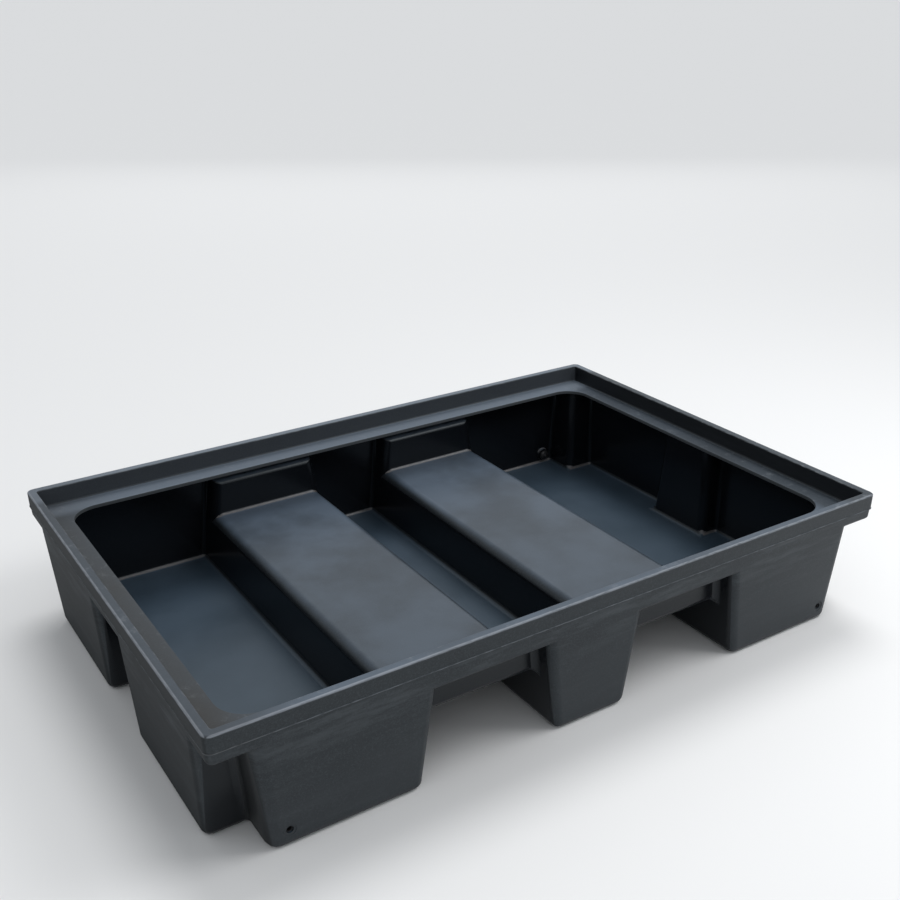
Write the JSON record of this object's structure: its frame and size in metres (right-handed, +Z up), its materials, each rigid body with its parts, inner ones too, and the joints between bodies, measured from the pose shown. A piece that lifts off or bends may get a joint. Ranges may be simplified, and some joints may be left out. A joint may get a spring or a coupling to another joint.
{
  "type": "spill containment pallet",
  "caption": "Low moulded polyethylene spill sump on feet, with fork channels, a recessed pallet seat inside its rim and removable drain plugs.",
  "frame": {"origin": "centre of the footprint at floor level, under the middle foot", "axes": "+X along the long side, +Y along the fork channels from front to back, +Z up"},
  "size_m": [1.24, 0.84, 0.225],
  "materials": {
    "polyethylene": "satin, finely speckled moulded polyethylene with light scuffs",
    "plug_plastic": "smooth black moulded plastic",
    "seal_rubber": "matt black rubber"
  },
  "bodies": {
    "tub": {"sump_tub": "polyethylene"},
    "plug_front_left": {"drain_plug_front_left": "plug_plastic", "plug_seal_front_left": "seal_rubber"},
    "plug_front_right": {"drain_plug_front_right": "plug_plastic", "plug_seal_front_right": "seal_rubber"},
    "plug_back_left": {"drain_plug_back_left": "plug_plastic", "plug_seal_back_left": "seal_rubber"},
    "plug_back_right": {"drain_plug_back_right": "plug_plastic", "plug_seal_back_right": "seal_rubber"}
  },
  "joints": [
    {"name": "plug_front_left_pull", "type": "slide", "parent": "tub", "child": "plug_front_left", "axis": [0, 1, 0], "range_m": [0, 0.03]},
    {"name": "plug_front_right_pull", "type": "slide", "parent": "tub", "child": "plug_front_right", "axis": [0, 1, 0], "range_m": [0, 0.03]},
    {"name": "plug_back_left_pull", "type": "slide", "parent": "tub", "child": "plug_back_left", "axis": [0, -1, 0], "range_m": [0, 0.03]},
    {"name": "plug_back_right_pull", "type": "slide", "parent": "tub", "child": "plug_back_right", "axis": [0, -1, 0], "range_m": [0, 0.03]}
  ]
}
